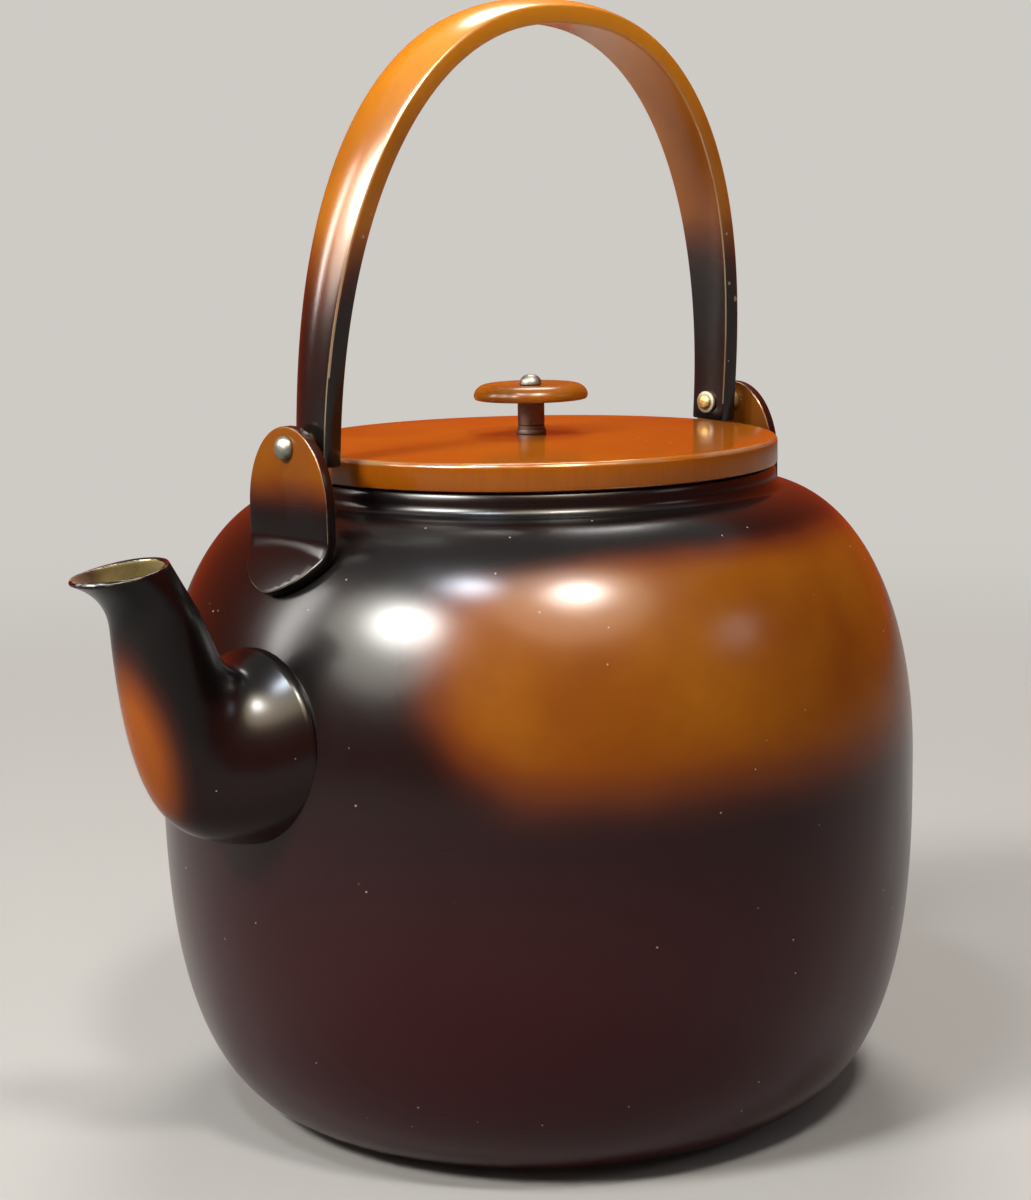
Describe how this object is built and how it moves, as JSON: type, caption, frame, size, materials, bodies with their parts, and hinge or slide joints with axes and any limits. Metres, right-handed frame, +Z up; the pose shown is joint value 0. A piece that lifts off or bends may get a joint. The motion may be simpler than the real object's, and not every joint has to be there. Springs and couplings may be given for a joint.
{
  "type": "water kettle",
  "caption": "Round metal water kettle with a short upturned spout, a lift-off lid with a mushroom knob, and an arch handle that swings on two riveted ears.",
  "frame": {"origin": "middle of the base, on the body's axis, on the surface that it stands on", "axes": "+Z up, the spout points along -X, the handle turns about a line along X"},
  "size_m": [0.2025, 0.165, 0.2381],
  "materials": {
    "body_finish": "gloss black lacquer-like patina with a soft-edged amber window on the shoulder",
    "spout_finish": "gloss black with an amber streak low on the front, bare olive brass inside the mouth",
    "handle_finish": "gloss amber over the top, fading to black down both legs, worn along the edges",
    "lid_finish": "gloss amber brown",
    "ear_finish": "gloss amber at the top, fading to black at the foot",
    "rivet_steel": "dull grey, tarnished",
    "washer_brass": "dull, tarnished",
    "dark_bronze": "dark brown, satin",
    "bare_copper": "bare and tarnished"
  },
  "bodies": {
    "kettle": {"body": "body_finish", "spout": "spout_finish", "front_ear": "ear_finish", "front_rivet": "rivet_steel", "front_spacer": "washer_brass", "front_washer": "rivet_steel", "rear_ear": "ear_finish", "rear_rivet": "rivet_steel", "rear_spacer": "washer_brass", "rear_washer": "rivet_steel"},
    "handle": {"handle_bar": "handle_finish"},
    "lid": {"lid_cap": "lid_finish", "lid_collar": "bare_copper", "knob_ring": "dark_bronze", "knob_stem": "dark_bronze", "knob_disc": "lid_finish", "knob_rivet": "rivet_steel", "knob_washer": "rivet_steel"}
  },
  "joints": [
    {"name": "handle_swing", "type": "hinge", "parent": "kettle", "child": "handle", "pos_m": [0, 0, 0.1488], "axis": [1, 0, 0], "range_deg": [-110, 102]},
    {"name": "lid_lift", "type": "slide", "parent": "kettle", "child": "lid", "axis": [0, 0, 1], "range_m": [0, 0.04]}
  ]
}
